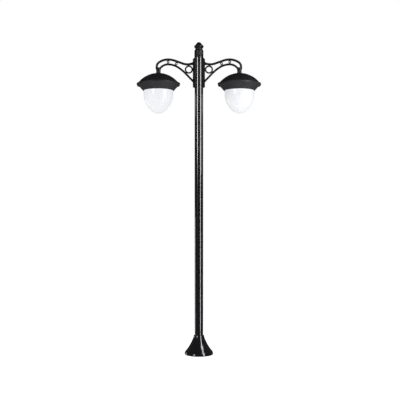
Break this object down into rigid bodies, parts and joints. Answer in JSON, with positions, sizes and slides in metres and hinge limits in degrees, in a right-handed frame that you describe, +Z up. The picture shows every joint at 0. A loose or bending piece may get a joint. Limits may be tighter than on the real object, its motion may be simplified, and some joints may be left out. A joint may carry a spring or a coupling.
{
  "type": "street lamp post",
  "caption": "Round steel lamp post with curved cast arms, hanging domed heads with opal diffusers, a bell base cover and a turned finial.",
  "frame": {"origin": "centre of the base plate's underside, at ground level, on the pole's axis", "axes": "+Z up the pole; the two arms along +X and -X; the service door faces +Y, and the front is -Y"},
  "size_m": [1.198, 0.394, 3],
  "materials": {
    "pole_coat": "gloss black powder coat",
    "cast_coat": "satin black powder coat on cast aluminium",
    "canopy_coat": "satin black powder coat on spun aluminium",
    "frame_coat": "satin black powder coat on cast aluminium",
    "galvanised_steel": "hot-dip galvanised",
    "stainless": "brushed",
    "stem_steel": "zinc plated",
    "brass_fitting": "turned",
    "board": "matt",
    "terminal_plastic": "matt",
    "fuse_plastic": "gloss",
    "black_rubber": "matt",
    "seal_rubber": "matt",
    "cable_jacket": "satin",
    "opal_diffuser": "opal, gloss",
    "lamp_glass": "opal, satin",
    "lamp_cap_metal": "threaded",
    "holder_ceramic": "unglazed"
  },
  "bodies": {
    "post": {"arm_left": "cast_coat", "arm_right": "cast_coat", "arm_screws_left": "stainless", "arm_screws_right": "stainless", "base_gussets": "galvanised_steel", "base_plate": "galvanised_steel", "cable_grommet_left": "black_rubber", "cable_grommet_right": "black_rubber", "canopy_gasket_left": "seal_rubber", "canopy_gasket_right": "seal_rubber", "canopy_left": "canopy_coat", "canopy_right": "canopy_coat", "carrier_board": "board", "catch_pin_left": "stainless", "catch_pin_right": "stainless", "door_tabs": "galvanised_steel", "earth_stud": "brass_fitting", "finial": "cast_coat", "finial_screws": "stainless", "fuse_carrier": "fuse_plastic", "hinge_pin_left": "stainless", "hinge_pin_right": "stainless", "lamp_bulb_left": "lamp_glass", "lamp_bulb_right": "lamp_glass", "lamp_cable_left": "cable_jacket", "lamp_cable_right": "cable_jacket", "lamp_cap_left": "lamp_cap_metal", "lamp_cap_right": "lamp_cap_metal", "lampholder_left": "holder_ceramic", "lampholder_right": "holder_ceramic", "neck_collar_left": "cast_coat", "neck_collar_right": "cast_coat", "pole_tube": "pole_coat", "rivet_nuts_left": "stainless", "rivet_nuts_right": "stainless", "stem_left": "stem_steel", "stem_nut_left": "stem_steel", "stem_nut_right": "stem_steel", "stem_right": "stem_steel", "terminal_block": "terminal_plastic"},
    "base_cover": {"base_cover": "cast_coat", "cover_screws": "stainless"},
    "service_door": {"service_door": "pole_coat", "door_screws": "stainless"},
    "frame_right": {"lower_frame_right": "frame_coat", "diffuser_right": "opal_diffuser", "diffuser_seal_right": "seal_rubber", "diffuser_clips_right": "stainless", "clip_screws_right": "stainless", "catch_clip_right": "stainless"},
    "frame_left": {"lower_frame_left": "frame_coat", "diffuser_left": "opal_diffuser", "diffuser_seal_left": "seal_rubber", "diffuser_clips_left": "stainless", "clip_screws_left": "stainless", "catch_clip_left": "stainless"}
  },
  "joints": [
    {"name": "base_cover_slide", "type": "slide", "parent": "post", "child": "base_cover", "axis": [0, 0, 1], "range_m": [0, 0.24]},
    {"name": "service_door_lift", "type": "slide", "parent": "post", "child": "service_door", "axis": [0, 1, 0], "range_m": [0, 0.1]},
    {"name": "frame_hinge_right", "type": "hinge", "parent": "post", "child": "frame_right", "pos_m": [0.592, 0, 2.605], "axis": [0, -1, 0], "range_deg": [0, 90]},
    {"name": "frame_hinge_left", "type": "hinge", "parent": "post", "child": "frame_left", "pos_m": [-0.592, 0, 2.605], "axis": [0, 1, 0], "range_deg": [0, 90]}
  ]
}
